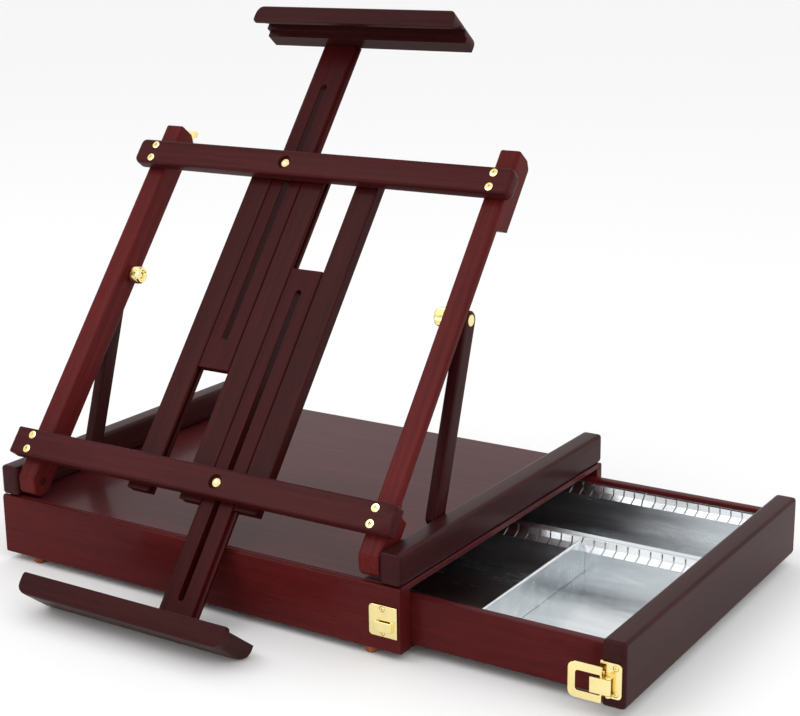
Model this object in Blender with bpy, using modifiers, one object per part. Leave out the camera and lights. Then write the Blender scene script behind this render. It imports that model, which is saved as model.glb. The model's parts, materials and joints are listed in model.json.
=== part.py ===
"""Wooden table easel on a drawer box, standing open: drawer part way out, frame raised.

Frame: +X to the right, +Y to the back, +Z up. The origin is the middle of the box's
underside. All lengths are in metres.
"""
import math

import bmesh
import bpy
from mathutils import Matrix, Vector

COLLECTION_NAME = "wooden_box_easel"
MM = 0.001

# Clearance between neighbouring pieces, and between a pin and its hole.
GAP = 0.3 * MM

# Box
BOX_LENGTH = 400 * MM
BOX_DEPTH = 335 * MM
WALL_HEIGHT = 51.5 * MM
FRONT_WALL = 14 * MM
BACK_WALL = 9 * MM
LEFT_WALL = 12 * MM
WALL_LIP = 4 * MM
PANEL_ABOVE_WALL = 0.5 * MM
TOP_PANEL = 4.5 * MM
BOTTOM_PANEL = 2.5 * MM
RAIL_WIDTH = 18 * MM
WOOD_ROUND = 3 * MM
FOOT_RADIUS = 5 * MM
FOOT_HEIGHT = 6.5 * MM
FOOT_INSET_X = 30.5 * MM
FOOT_INSET_Y = 8 * MM

# Easel frame: a lean from upright, and the pivot of its arms in the rails
FRAME_LEAN = math.radians(38.1)
PIVOT_FROM_FRONT = 11.8 * MM
PIVOT_ABOVE_PANEL = 14.25 * MM
PIVOT_PIN_RADIUS = 3 * MM
PIVOT_PIN_IN_RAIL = 12 * MM

# Arms, measured from the pivot: z runs up the arm, y to its back
ARM_WIDTH = 18.5 * MM
ARM_SIDE_GAP = 0.7 * MM
ARM_FRONT = 11.7 * MM
ARM_BACK = 11 * MM
ARM_TOP = 342.5 * MM
ARM_TOP_CHAMFER = 7 * MM
ARM_END_RADIUS = 12.9 * MM
ARM_ROUND = 2 * MM
ARM_STRIP = 5.9 * MM
STRUT_SIDE_SPACE = 1.1 * MM
REBATE_BOTTOM = 34 * MM
REBATE_TOP = 281 * MM

# Crossbars
CROSSBAR_PAST_ARM = 8.2 * MM
CROSSBAR_HEIGHT = 23.5 * MM
CROSSBAR_THICK = 12.7 * MM
CROSSBAR_EDGE = 2.5 * MM
BOTTOM_CROSSBAR_Z = 25.0 * MM
TOP_CROSSBAR_Z = 307.8 * MM
TOP_CROSSBAR_CORNER = 5 * MM
BOTTOM_CROSSBAR_CORNER = 1.5 * MM
SCREW_SPREAD = 12.6 * MM
SCREW_HEAD_RADIUS = 3.7 * MM
SCREW_SHANK_RADIUS = 1.6 * MM
SCREW_HEAD_DEPTH = 2.2 * MM
SCREW_LENGTH = 26 * MM

# Mast: three grooved bars with a slider in each gap
MAST_CENTRE_X = -1 * MM
MAST_BAR = 22.2 * MM
MAST_GAP = 31.8 * MM
MAST_THICK = 10 * MM
MAST_BOTTOM = 9 * MM
MAST_TOP = 318 * MM
SLIDER_THICK = 8 * MM
TONGUE_REACH = 3.4 * MM
TONGUE_THICK = 3 * MM
TONGUE_BACK = 1.7 * MM
TONGUE_TAPER = 0.2 * MM
SLOT_WIDTH = 5.6 * MM
UPPER_SLIDER_BOTTOM = 120 * MM
UPPER_SLOT = (146 * MM, 392.5 * MM)
LOWER_SLIDER_TOP = 217.5 * MM
LOWER_SLOT = (-69 * MM, 199 * MM)

# Centre bolts, with a clamp nut behind
CLAMP_BOLT_RADIUS = 2.5 * MM
CLAMP_HEAD_RADIUS = 4.7 * MM
CLAMP_HEAD_HEIGHT = 2.4 * MM
CLAMP_RECESS = 2.8 * MM
CLAMP_RECESS_RADIUS = 6 * MM
CLAMP_NUT_RADIUS = 8 * MM
CLAMP_NUT_LENGTH = 8 * MM

# Canvas holder and tray: z is the outer face, the ledge is where the slider ends
MOULDING_DEPTH = 40.5 * MM
MOULDING_BACK = 6.5 * MM
MOULDING_LEDGE = 14.5 * MM
HOLDER_LIP = 16.5 * MM
TRAY_LIP = 17 * MM
TRAY_LIP_THICK = 5.5 * MM
HOLDER_LENGTH = 203 * MM
HOLDER_OUTER_Z = 448.5 * MM
HOLDER_BACK_ROUND = 3 * MM
TRAY_LENGTH = 202 * MM
TRAY_OUTER_Z = -100.5 * MM
TRAY_BACK_ROUND = 10 * MM
MOULDING_OUTER_CORNER = 8.5 * MM
MOULDING_INNER_CORNER = 4 * MM

# Struts: pivot on the arm, foot beside the rail
STRUT_THICK = 9.8 * MM
STRUT_WIDTH = 15 * MM
STRUT_PIVOT_Z = 198.5 * MM
STRUT_PIVOT_BACK = 2 * MM
STRUT_FOOT_Y = 87.6 * MM
STRUT_FOOT_ABOVE_PANEL = 20 * MM
STRUT_PAST_FOOT = 4.5 * MM
STRUT_END_ROUND = 7.2 * MM
STRUT_BOLT_RADIUS = 2.5 * MM
STRUT_BOLT_HEAD_RADIUS = 4.6 * MM
STRUT_BOLT_HEAD_DEPTH = 2 * MM
THUMB_NUT_RADIUS = 7.8 * MM
THUMB_NUT_LENGTH = 12 * MM

# Brass catch on the back of the left arm
CATCH_WIDTH = 9 * MM
CATCH_SHEET = 1.2 * MM
CATCH_HEIGHT = 20 * MM
CATCH_ABOVE_ARM = 8 * MM
CATCH_HOOK = 5 * MM

# Drawer, drawn out by DRAWER_OPEN
DRAWER_OPEN = 161.3 * MM
DRAWER_PANEL = 18 * MM
DRAWER_PANEL_BOTTOM = 2.3 * MM
DRAWER_PANEL_BELOW_TOP = 0.1 * MM
DRAWER_SIDE = 9 * MM
DRAWER_SIDE_GAP = 0.6 * MM
DRAWER_SIDE_Z = (2.9 * MM, 41.3 * MM)
DRAWER_END_SPACE = 3 * MM
DRAWER_BOTTOM = 3 * MM
DRAWER_BOTTOM_Z = 4 * MM
LINER_SHEET = 0.5 * MM
LINER_HEIGHT = 30.7 * MM
LINER_FRONT_COMPARTMENT = 172 * MM
LINER_RIDGE = 6.5 * MM
DIVIDER_SHEET = 0.8 * MM
DIVIDER_ROLL = 3 * MM
DIVIDER_FROM_PANEL = 109 * MM

# Latch on the drawer panel and keeper on the box
PLATE = 1.2 * MM
LATCH_HEIGHT = 26 * MM
LATCH_CENTRE_Z = 23.7 * MM
LATCH_PIN_Z = 20.5 * MM
LATCH_BASE_WIDTH = 16 * MM
LATCH_CORNER = 3 * MM
LATCH_PIN_RADIUS = 0.8 * MM
LATCH_PIN_FROM_PLATE_EDGE = 8 * MM
LATCH_PIN_HEIGHT = 5 * MM
LATCH_EAR = 1.4 * MM
LATCH_EAR_SPREAD = 14.9 * MM
LATCH_KNUCKLE_RADIUS = 1.9 * MM
LEVER_THROW = 5.6 * MM
LEVER_LENGTH = 13 * MM
LEVER_THICK = 1.3 * MM
BAIL_REACH = 24.5 * MM
BAIL_STRAP = 5.5 * MM
BAIL_CORNER = 4.5 * MM
BAIL_WINDOW_CORNER = 2.2 * MM
BAIL_THICK = 1.6 * MM
BAIL_ROD_RADIUS = 0.8 * MM
KEEPER_WIDTH = 24.4 * MM
KEEPER_HEIGHT = 24.6 * MM
KEEPER_CENTRE_Z = 24.3 * MM
KEEPER_FROM_END = 1.9 * MM
KEEPER_HOOK = (15 * MM, 2.4 * MM, 7.7 * MM)
KEEPER_HOOK_DROP = 3.6 * MM
KEEPER_HOOK_SHEET = 0.9 * MM
KEEPER_HOOK_FOOT = 2 * MM
KEEPER_HOOK_FROM_EDGE = 3.5 * MM
SMALL_SCREW_HEAD = 2 * MM
SMALL_SCREW_SHANK = 1 * MM
SMALL_SCREW_LENGTH = 9 * MM
SMALL_SCREW_SPREAD = 19 * MM
SMALL_SCREW_FROM_LEFT = 11.5 * MM

# Smoothness of round shapes
TURN_STEPS = 24
SMALL_TURN_STEPS = 12
CORNER_STEPS = 3
DOME_STEPS = 5

# Colours
MAHOGANY = (0.115, 0.018, 0.016)
PLYWOOD = (0.20, 0.045, 0.04)
BRASS = (0.80, 0.58, 0.22)
TINPLATE = (0.72, 0.74, 0.75)
FOOT_BROWN = (0.35, 0.11, 0.03)

# Places worked out from the sizes above
LEFT_X = -BOX_LENGTH / 2
RIGHT_X = BOX_LENGTH / 2
FRONT_Y = -BOX_DEPTH / 2
BACK_Y = BOX_DEPTH / 2
TOP_SURFACE_Z = WALL_HEIGHT + PANEL_ABOVE_WALL
DRAWER_PANEL_Z = (DRAWER_PANEL_BOTTOM, TOP_SURFACE_Z - DRAWER_PANEL_BELOW_TOP)
PIVOT_Y = FRONT_Y + PIVOT_FROM_FRONT
PIVOT_Z = TOP_SURFACE_Z + PIVOT_ABOVE_PANEL
RAIL_TOP_Z = PIVOT_Z + ARM_FRONT
ARM_OUTER_X = RIGHT_X - RAIL_WIDTH - ARM_SIDE_GAP
ARM_INNER_X = ARM_OUTER_X - ARM_WIDTH
ARM_INNER_STRIP = ARM_WIDTH - STRUT_THICK - STRUT_SIDE_SPACE
CROSSBAR_LENGTH = 2 * (ARM_OUTER_X + CROSSBAR_PAST_ARM)
CROSSBAR_BACK = ARM_FRONT + GAP
CLAMP_OFFSET = (MAST_BAR + MAST_GAP) / 2
UPPER_X = MAST_CENTRE_X - CLAMP_OFFSET
LOWER_X = MAST_CENTRE_X + CLAMP_OFFSET
SLIDER_WIDTH = MAST_GAP - 2 * GAP
TONGUE_Y = (-(ARM_FRONT - SLIDER_THICK + TONGUE_BACK + TONGUE_THICK), -(ARM_FRONT - SLIDER_THICK + TONGUE_BACK))
DRAWER_PANEL_X = RIGHT_X + DRAWER_OPEN
DRAWER_LENGTH = BOX_LENGTH - LEFT_WALL - DRAWER_END_SPACE
DRAWER_LEFT_X = DRAWER_PANEL_X - DRAWER_LENGTH
DRAWER_FRONT_Y = FRONT_Y + FRONT_WALL + DRAWER_SIDE_GAP
DRAWER_BACK_Y = BACK_Y - BACK_WALL - DRAWER_SIDE_GAP


# ---------------------------------------------------------------- helpers

def clear_scene():
    for item in list(bpy.data.objects):
        bpy.data.objects.remove(item, do_unlink=True)


def make_collection(name):
    collection = bpy.data.collections.new(name)
    bpy.context.scene.collection.children.link(collection)
    return collection


def make_material(name, colour, roughness, metallic=0.0):
    material = bpy.data.materials.new(name)
    material.use_nodes = True
    shader = material.node_tree.nodes["Principled BSDF"]
    shader.inputs["Base Color"].default_value = (*colour, 1.0)
    shader.inputs["Roughness"].default_value = roughness
    shader.inputs["Metallic"].default_value = metallic
    return material


def wood(name):
    return make_material(name, MAHOGANY, 0.35)


def plywood(name):
    return make_material(name, PLYWOOD, 0.45)


def brass(name):
    return make_material(name, BRASS, 0.2, 1.0)


def tin(name):
    return make_material(name, TINPLATE, 0.25, 1.0)


def place(obj, parent=None, matrix=None):
    """Link an object to the model and put it in its parent's axes."""
    MODEL.objects.link(obj)
    if matrix is not None:
        obj.matrix_local = matrix
    if parent is not None:
        obj.parent = parent
    return obj


def make_empty(name, location, rotation_x=0.0, parent=None):
    empty = bpy.data.objects.new(name, None)
    MODEL.objects.link(empty)
    empty.location = location
    empty.rotation_euler = (rotation_x, 0, 0)
    empty.parent = parent
    return empty


def mesh_object(name, mesh, material, parent=None, matrix=None):
    obj = bpy.data.objects.new(name, mesh)
    if material is not None:
        mesh.materials.clear()
        mesh.materials.append(material)
    return place(obj, parent, matrix)


def block_mesh(name, low, high):
    """A box mesh between two corners."""
    low, high = Vector(low), Vector(high)
    mesh = bpy.data.meshes.new(name)
    bm = bmesh.new()
    bmesh.ops.create_cube(bm, size=1.0)
    bmesh.ops.scale(bm, vec=high - low, verts=bm.verts)
    bmesh.ops.translate(bm, vec=(low + high) / 2, verts=bm.verts)
    bm.to_mesh(mesh)
    bm.free()
    return mesh


def block(name, low, high, material, parent=None, edge=0.0, segments=2):
    """A box between two corners, with its edges rounded when edge is given."""
    obj = mesh_object(name, block_mesh(name, low, high), material, parent)
    if edge > 0:
        round_edges(obj, edge, segments)
    return obj


def round_edges(obj, width, segments=2):
    bevel = obj.modifiers.new("round_edges", "BEVEL")
    bevel.width = width
    bevel.segments = segments
    bevel.limit_method = "ANGLE"
    bevel.angle_limit = math.radians(40)


def arc_points(centre, radius, start, end, steps):
    """Points on an arc; angles in degrees, both ends included."""
    points = []
    for step in range(steps + 1):
        angle = math.radians(start + (end - start) * step / steps)
        points.append((centre[0] + radius * math.cos(angle), centre[1] + radius * math.sin(angle)))
    return points


def rounded_outline(corners, steps=CORNER_STEPS):
    """An outline whose corners are (x, y, radius); a radius of 0 stays sharp."""
    outline = []
    count = len(corners)
    for index, (x, y, radius) in enumerate(corners):
        corner = Vector((x, y))
        if radius <= 0:
            outline.append((x, y))
            continue
        before = (Vector(corners[index - 1][:2]) - corner).normalized()
        after = (Vector(corners[(index + 1) % count][:2]) - corner).normalized()
        half = before.angle(after) / 2
        centre = corner + (before + after).normalized() * (radius / math.sin(half))
        first = corner + before * (radius / math.tan(half)) - centre
        last = corner + after * (radius / math.tan(half)) - centre
        turn = first.angle_signed(last)
        for step in range(steps + 1):
            arm = Matrix.Rotation(-turn * step / steps, 2) @ first
            outline.append(tuple(centre + arm))
    return outline


def slab_mesh(name, outline, low, high, axes="XYZ"):
    """An outline drawn as a filled 2D curve and extruded from low to high.

    axes names the model axes of the outline's first axis, second axis and its extrusion.
    """
    curve = bpy.data.curves.new(name, "CURVE")
    curve.dimensions = "2D"
    curve.fill_mode = "BOTH"
    curve.extrude = (high - low) / 2
    spline = curve.splines.new("POLY")
    spline.points.add(len(outline) - 1)
    for point, (x, y) in zip(spline.points, outline):
        point.co = (x, y, 0, 1)
    spline.use_cyclic_u = True
    helper = bpy.data.objects.new(name, curve)
    bpy.context.scene.collection.objects.link(helper)
    bpy.context.view_layer.update()
    graph = bpy.context.evaluated_depsgraph_get()
    mesh = bpy.data.meshes.new_from_object(helper.evaluated_get(graph))
    bpy.data.objects.remove(helper, do_unlink=True)
    turn = Matrix.Identity(4)
    for column, axis in enumerate(axes):
        for row in range(3):
            turn[row][column] = 1.0 if "XYZ"[row] == axis else 0.0
    bm = bmesh.new()
    bm.from_mesh(mesh)
    bmesh.ops.remove_doubles(bm, verts=bm.verts, dist=0.000001)
    bmesh.ops.translate(bm, vec=(0, 0, (low + high) / 2), verts=bm.verts)
    bmesh.ops.dissolve_limit(bm, angle_limit=math.radians(0.1), verts=bm.verts, edges=bm.edges)
    bm.transform(turn)
    if bm.calc_volume(signed=True) < 0:
        bmesh.ops.reverse_faces(bm, faces=bm.faces)
    bm.to_mesh(mesh)
    bm.free()
    return mesh


def slab(name, outline, low, high, axes, material, parent=None):
    return mesh_object(name, slab_mesh(name, outline, low, high, axes), material, parent)


def turned(name, profile, axis, base, material, parent=None, steps=TURN_STEPS, ring=False):
    """A profile of (radius, height) pairs, top to bottom, turned about an axis.

    axis is the direction of height; base is the point at height 0.
    """
    mesh = bpy.data.meshes.new(name)
    bm = bmesh.new()
    points = [bm.verts.new((radius, 0, height)) for radius, height in profile]
    for first, second in zip(points, points[1:]):
        bm.edges.new((first, second))
    if ring:
        bm.edges.new((points[-1], points[0]))
    bm.to_mesh(mesh)
    bm.free()
    turn = Vector((0, 0, 1)).rotation_difference(Vector(axis)).to_matrix().to_4x4()
    obj = mesh_object(name, mesh, material, parent, Matrix.Translation(base) @ turn)
    screw = obj.modifiers.new("turn", "SCREW")
    screw.axis = "Z"
    screw.steps = steps
    screw.render_steps = steps
    screw.use_merge_vertices = True
    screw.merge_threshold = 0.00001
    screw.use_smooth_shade = True
    return obj


def rod_profile(radius, low, high):
    return [(0, high), (radius, high), (radius, low), (0, low)]


def make_cutter(obj):
    """Take an object out of the model and keep it only as a cutting shape."""
    MODEL.objects.unlink(obj)
    CUTTERS.objects.link(obj)
    obj.hide_render = True
    obj.display_type = "WIRE"
    return obj


def combine(obj, other, operation="DIFFERENCE"):
    boolean = obj.modifiers.new(other.name, "BOOLEAN")
    boolean.operation = operation
    boolean.solver = "EXACT"
    boolean.object = make_cutter(other)
    return obj


def cut_hole(obj, label, radius, axis, start, length, parent=None, steps=TURN_STEPS):
    """Cut a round hole that starts at a point and runs along an axis."""
    name = obj.name + "_" + label
    cutter = turned(name, rod_profile(radius, 0, length), axis, start, None, parent, steps)
    return combine(obj, cutter)


def screw_profile(head, shank, depth, length):
    """A countersunk screw with its head's top at height 0."""
    return [(0, 0), (head, 0), (head, -depth * 0.15), (shank, -depth), (shank, -length), (0, -length)]


def wood_screw(name, point, axis, parent, sizes, bores):
    """A countersunk screw, and the holes it needs in the pieces it passes through."""
    head, shank, depth, length = sizes
    profile = screw_profile(head, shank, depth, length)
    screw = turned(name, profile, axis, point, brass(name), parent, SMALL_TURN_STEPS)
    for obj in bores:
        wide = [(0, GAP), (head + GAP, GAP), (head + GAP, -depth * 0.15 - GAP), (shank + GAP, -depth - GAP),
                (shank + GAP, -length - GAP), (0, -length - GAP)]
        cutter = turned(obj.name + "_for_" + name, wide, axis, point, None, parent, SMALL_TURN_STEPS)
        combine(obj, cutter)
    return screw


# ---------------------------------------------------------------- box

def wall_outline(thickness, outer_sign, outer):
    """A wall's section with a rebate on top for the panel; outer_sign points outwards."""
    inner = outer - outer_sign * thickness
    shoulder = outer - outer_sign * WALL_LIP
    rebate_z = TOP_SURFACE_Z - TOP_PANEL - GAP
    return rounded_outline([
        (outer, 0, 1.5 * MM), (outer, WALL_HEIGHT, 2.5 * MM), (shoulder, WALL_HEIGHT, 0),
        (shoulder, rebate_z, 0), (inner, rebate_z, 0), (inner, 0, 0)])


def build_box():
    """The fixed box: walls, panels, rails and feet."""
    slab("front_wall", wall_outline(FRONT_WALL, -1, FRONT_Y), LEFT_X, RIGHT_X, "YZX", wood("front_wall"))
    slab("back_wall", wall_outline(BACK_WALL, 1, BACK_Y), LEFT_X, RIGHT_X, "YZX", wood("back_wall"))
    slab("left_wall", wall_outline(LEFT_WALL, -1, LEFT_X), FRONT_Y + FRONT_WALL + GAP,
         BACK_Y - BACK_WALL - GAP, "XZY", wood("left_wall"))
    block("top_panel", (LEFT_X + WALL_LIP + GAP, FRONT_Y + WALL_LIP + GAP, TOP_SURFACE_Z - TOP_PANEL),
          (RIGHT_X, BACK_Y - WALL_LIP - GAP, TOP_SURFACE_Z), plywood("top_panel"))
    block("bottom_panel", (LEFT_X + LEFT_WALL + GAP, FRONT_Y + FRONT_WALL + GAP, 0),
          (RIGHT_X, BACK_Y - BACK_WALL - GAP, BOTTOM_PANEL), plywood("bottom_panel"))
    for name, low_x in (("left_rail", LEFT_X), ("right_rail", RIGHT_X - RAIL_WIDTH)):
        rail = block(name, (low_x, FRONT_Y, TOP_SURFACE_Z + GAP), (low_x + RAIL_WIDTH, BACK_Y, RAIL_TOP_Z),
                     wood(name), edge=WOOD_ROUND)
        inner = low_x + RAIL_WIDTH if name == "left_rail" else low_x
        outwards = -1 if name == "left_rail" else 1
        cut_hole(rail, "pin_hole", PIVOT_PIN_RADIUS + GAP, (outwards, 0, 0),
                 (inner - outwards * MM, PIVOT_Y, PIVOT_Z), PIVOT_PIN_IN_RAIL + MM)
    for side, x in (("left", LEFT_X + FOOT_INSET_X), ("right", RIGHT_X - FOOT_INSET_X)):
        for end, y in (("front", FRONT_Y + FOOT_INSET_Y), ("back", BACK_Y - FOOT_INSET_Y)):
            profile = [(0, -GAP), (FOOT_RADIUS, -GAP), (FOOT_RADIUS, -FOOT_HEIGHT + 1.5 * MM),
                       (FOOT_RADIUS - 1.5 * MM, -FOOT_HEIGHT), (0, -FOOT_HEIGHT)]
            name = "foot_" + end + "_" + side
            turned(name, profile, (0, 0, 1), (x, y, 0), make_material(name, FOOT_BROWN, 0.6), steps=16)


# ---------------------------------------------------------------- easel frame

def arm_outline():
    """Side view of an arm: rounded foot about the pivot, chamfered top at the back."""
    chamfer_top = -2.5 * MM
    outline = [(-ARM_FRONT, ARM_TOP), (-ARM_FRONT, chamfer_top)]
    outline += arc_points((0, 0), ARM_END_RADIUS, 256, 325, 5)
    outline += [(ARM_BACK, -4 * MM), (ARM_BACK, ARM_TOP - ARM_TOP_CHAMFER * 0.7),
                (ARM_BACK - ARM_TOP_CHAMFER, ARM_TOP)]
    return outline


def rebate_outline():
    """The pocket on an arm's outer back, where the strut folds in; its foot follows the strut's."""
    floor = -ARM_FRONT + ARM_STRIP
    past_back = ARM_BACK + 2 * MM
    return [(floor, REBATE_TOP - 8 * MM), (past_back, REBATE_TOP), (past_back, REBATE_BOTTOM - 1.2 * MM),
            (3 * MM, REBATE_BOTTOM), (-2.5 * MM, REBATE_BOTTOM + 3.5 * MM), (floor, REBATE_BOTTOM + 9 * MM)]


def build_arm(side, frame):
    """One arm; side is -1 for left and 1 for right."""
    label = "left" if side < 0 else "right"
    name = label + "_arm"
    low, high = sorted((side * ARM_INNER_X, side * ARM_OUTER_X))
    arm = slab(name, arm_outline(), low, high, "YZX", wood(name), frame)
    round_edges(arm, ARM_ROUND)
    strip = side * (ARM_INNER_X + ARM_INNER_STRIP)
    low, high = sorted((strip, side * (ARM_OUTER_X + MM)))
    combine(arm, slab(name + "_rebate", rebate_outline(), low, high, "YZX", None, frame))
    start = side * (ARM_INNER_X - MM)
    cut_hole(arm, "pin_hole", PIVOT_PIN_RADIUS + GAP, (side, 0, 0), (start, 0, 0), ARM_WIDTH + 2 * MM, frame)
    cut_hole(arm, "bolt_hole", STRUT_BOLT_RADIUS + GAP, (side, 0, 0),
             (start, STRUT_PIVOT_BACK, STRUT_PIVOT_Z), ARM_INNER_STRIP + 2 * MM, frame)
    pin = label + "_arm_pin"
    length = ARM_SIDE_GAP + ARM_WIDTH + PIVOT_PIN_IN_RAIL - GAP
    turned(pin, rod_profile(PIVOT_PIN_RADIUS, 0, length), (side, 0, 0), (side * ARM_INNER_X, PIVOT_Y, PIVOT_Z),
           wood(pin), steps=16)
    return arm


def build_crossbar(name, z, corner, frame, arms):
    """A crossbar with its four screws and its clamp bolt hole."""
    half = CROSSBAR_LENGTH / 2
    low, high = z - CROSSBAR_HEIGHT / 2, z + CROSSBAR_HEIGHT / 2
    outline = rounded_outline([(-half, low, corner), (half, low, corner),
                               (half, high, corner), (-half, high, corner)])
    front = -CROSSBAR_BACK - CROSSBAR_THICK
    bar = slab(name, outline, front, -CROSSBAR_BACK, "XZY", wood(name), frame)
    round_edges(bar, CROSSBAR_EDGE)
    sizes = (SCREW_HEAD_RADIUS, SCREW_SHANK_RADIUS, SCREW_HEAD_DEPTH, SCREW_LENGTH)
    for side, arm in zip((-1, 1), arms):
        x = side * (ARM_INNER_X + ARM_OUTER_X) / 2
        for end, offset in (("lower", -1), ("upper", 1)):
            label = name.split("_")[0] + "_screw_" + ("left" if side < 0 else "right") + "_" + end
            point = (x, front, z + offset * SCREW_SPREAD / 2)
            wood_screw(label, point, (0, -1, 0), frame, sizes, (bar, arm))
    return bar


def build_clamp(label, bar, x, z, frame):
    """The round-headed bolt sunk in a crossbar, running through a slider's slot, and its nut."""
    front = -CROSSBAR_BACK - CROSSBAR_THICK
    seat = front + CLAMP_RECESS
    start = front - MM
    bore = CLAMP_BOLT_RADIUS + GAP
    cut_hole(bar, "clamp_hole", bore, (0, 1, 0), (x, start, z), CROSSBAR_THICK + 2 * MM, frame)
    cut_hole(bar, "clamp_recess", CLAMP_RECESS_RADIUS, (0, 1, 0), (x, start, z), CLAMP_RECESS + MM, frame)
    nut_front = -(ARM_FRONT - SLIDER_THICK) + GAP
    tip = seat - nut_front - CLAMP_NUT_LENGTH + 2 * MM
    head, rise = CLAMP_HEAD_RADIUS, CLAMP_HEAD_HEIGHT
    angles = [math.radians(90 * step / DOME_STEPS) for step in range(DOME_STEPS)]
    profile = [(head * math.sin(angle), rise * math.cos(angle)) for angle in angles]
    profile += [(head, GAP), (CLAMP_BOLT_RADIUS, GAP), (CLAMP_BOLT_RADIUS, tip), (0, tip)]
    name = label + "_clamp_bolt"
    turned(name, profile, (0, -1, 0), (x, seat, z), brass(name), frame, 16)
    ring = [(bore, 0), (CLAMP_NUT_RADIUS - MM, 0), (CLAMP_NUT_RADIUS, -MM),
            (CLAMP_NUT_RADIUS, -CLAMP_NUT_LENGTH + MM), (CLAMP_NUT_RADIUS - MM, -CLAMP_NUT_LENGTH),
            (bore, -CLAMP_NUT_LENGTH)]
    name = label + "_clamp_nut"
    hub = make_empty(name + "_axis", (x, nut_front, z), 0, frame)
    turned(name, ring, (0, -1, 0), (0, 0, 0), brass(name), hub, ring=True)


def bar_outline(low, high, grooves):
    """A mast bar's section in x and y, with a groove on each side named in grooves."""
    front, back = -ARM_FRONT, -ARM_FRONT + MAST_THICK
    groove_low, groove_high = TONGUE_Y[0] - GAP, TONGUE_Y[1] + GAP
    depth = TONGUE_REACH + GAP
    edge = 1.2 * MM
    outline = [(low, front, edge), (high, front, edge)]
    if "right" in grooves:
        outline += [(high, groove_low, 0), (high - depth, groove_low, 0),
                    (high - depth, groove_high, 0), (high, groove_high, 0)]
    outline += [(high, back, 0), (low, back, 0)]
    if "left" in grooves:
        outline += [(low, groove_high, 0), (low + depth, groove_high, 0),
                    (low + depth, groove_low, 0), (low, groove_low, 0)]
    return rounded_outline(outline, 2)


def build_mast(frame):
    """The three grooved bars between the crossbars."""
    half = MAST_BAR / 2
    step = MAST_BAR + MAST_GAP
    bars = (("mast_bar_left", MAST_CENTRE_X - step, ("right",)),
            ("mast_bar_centre", MAST_CENTRE_X, ("left", "right")),
            ("mast_bar_right", MAST_CENTRE_X + step, ("left",)))
    for name, x, grooves in bars:
        slab(name, bar_outline(x - half, x + half, grooves), MAST_BOTTOM, MAST_TOP, "XYZ", wood(name), frame)


def slider_outline(x):
    """A slider's section: a board with a slightly tapered tongue on each side."""
    front, back = -ARM_FRONT, -ARM_FRONT + SLIDER_THICK
    half = SLIDER_WIDTH / 2
    reach = MAST_GAP / 2 + TONGUE_REACH - GAP
    low, high = TONGUE_Y
    taper = TONGUE_TAPER
    edge = 1.2 * MM
    return rounded_outline([
        (x - half, front, edge), (x + half, front, edge), (x + half, low, 0),
        (x + reach, low + taper, 0), (x + reach, high - taper, 0), (x + half, high, 0),
        (x + half, back, 0), (x - half, back, 0), (x - half, high, 0),
        (x - reach, high - taper, 0), (x - reach, low + taper, 0), (x - half, low, 0)], 2)


def build_slider(name, x, low, high, slot, frame):
    """A slider board with the long slot that its clamp bolt runs in."""
    board = slab(name, slider_outline(x), low, high, "XYZ", wood(name), frame)
    half = SLOT_WIDTH / 2
    outline = arc_points((x, slot[0] + half), half, 180, 360, 6)
    outline += arc_points((x, slot[1] - half), half, 0, 180, 6)
    back = -ARM_FRONT + SLIDER_THICK
    combine(board, slab(name + "_slot", outline, -ARM_FRONT - MM, back + MM, "XZY", None, frame))


def holder_section():
    """Corners of the holder's section: share of its depth, height below its top, rounding."""
    ledge = MOULDING_LEDGE
    return [(0, 0, HOLDER_BACK_ROUND), (1, 0, 2.5 * MM),
            (1, HOLDER_LIP, 0.8 * MM), (0.91, HOLDER_LIP, 0.8 * MM),
            (0.73, ledge * 0.53, 0), (0.60, ledge * 0.56, 0), (0.49, ledge * 0.38, 0), (0.46, ledge * 0.69, 0),
            (0.35, ledge * 0.69, 0), (0.34, ledge, 0), (0, ledge, 0)]


def tray_section():
    """Corners of the tray's section: a shelf with a lip in front."""
    lip = 1 - TRAY_LIP_THICK / MOULDING_DEPTH
    return [(0, 0, TRAY_BACK_ROUND), (1, 0, 3 * MM), (1, TRAY_LIP, 1 * MM), (lip, TRAY_LIP, 1 * MM),
            (lip, MOULDING_LEDGE, 0), (0, MOULDING_LEDGE, 0)]


def build_moulding(name, section, length, outer_z, inward, frame):
    """A canvas moulding with its ends rounded off; inward is the z direction towards the canvas."""
    outline = []
    for share, height, radius in section:
        outline.append((-MOULDING_BACK - share * MOULDING_DEPTH, outer_z + inward * height, radius))
    half = length / 2
    bar = slab(name, rounded_outline(outline, 3), -half, half, "YZX", wood(name), frame)
    trim = 0.01 * MM
    inner_z = outer_z + inward * (max(height for share, height, radius in section) + MM)
    near_z = outer_z + inward * trim
    edge = half - trim
    ends = rounded_outline([(-edge, near_z, MOULDING_OUTER_CORNER), (edge, near_z, MOULDING_OUTER_CORNER),
                            (edge, inner_z, MOULDING_INNER_CORNER), (-edge, inner_z, MOULDING_INNER_CORNER)], 4)
    front = -MOULDING_BACK - MOULDING_DEPTH - MM
    combine(bar, slab(name + "_ends", ends, front, -MOULDING_BACK + MM, "XZY", None, frame), "INTERSECT")


def strut_rest_angle():
    """The strut's direction at rest, from straight down the arm towards the back."""
    lean = FRAME_LEAN
    pivot_y = PIVOT_Y + STRUT_PIVOT_Z * math.sin(lean) + STRUT_PIVOT_BACK * math.cos(lean)
    pivot_z = PIVOT_Z + STRUT_PIVOT_Z * math.cos(lean) - STRUT_PIVOT_BACK * math.sin(lean)
    foot_y = FRONT_Y + STRUT_FOOT_Y
    foot_z = TOP_SURFACE_Z + STRUT_FOOT_ABOVE_PANEL
    length = math.hypot(pivot_y - foot_y, pivot_z - foot_z)
    from_vertical = math.atan2(pivot_y - foot_y, pivot_z - foot_z)
    return lean - from_vertical, length


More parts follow.
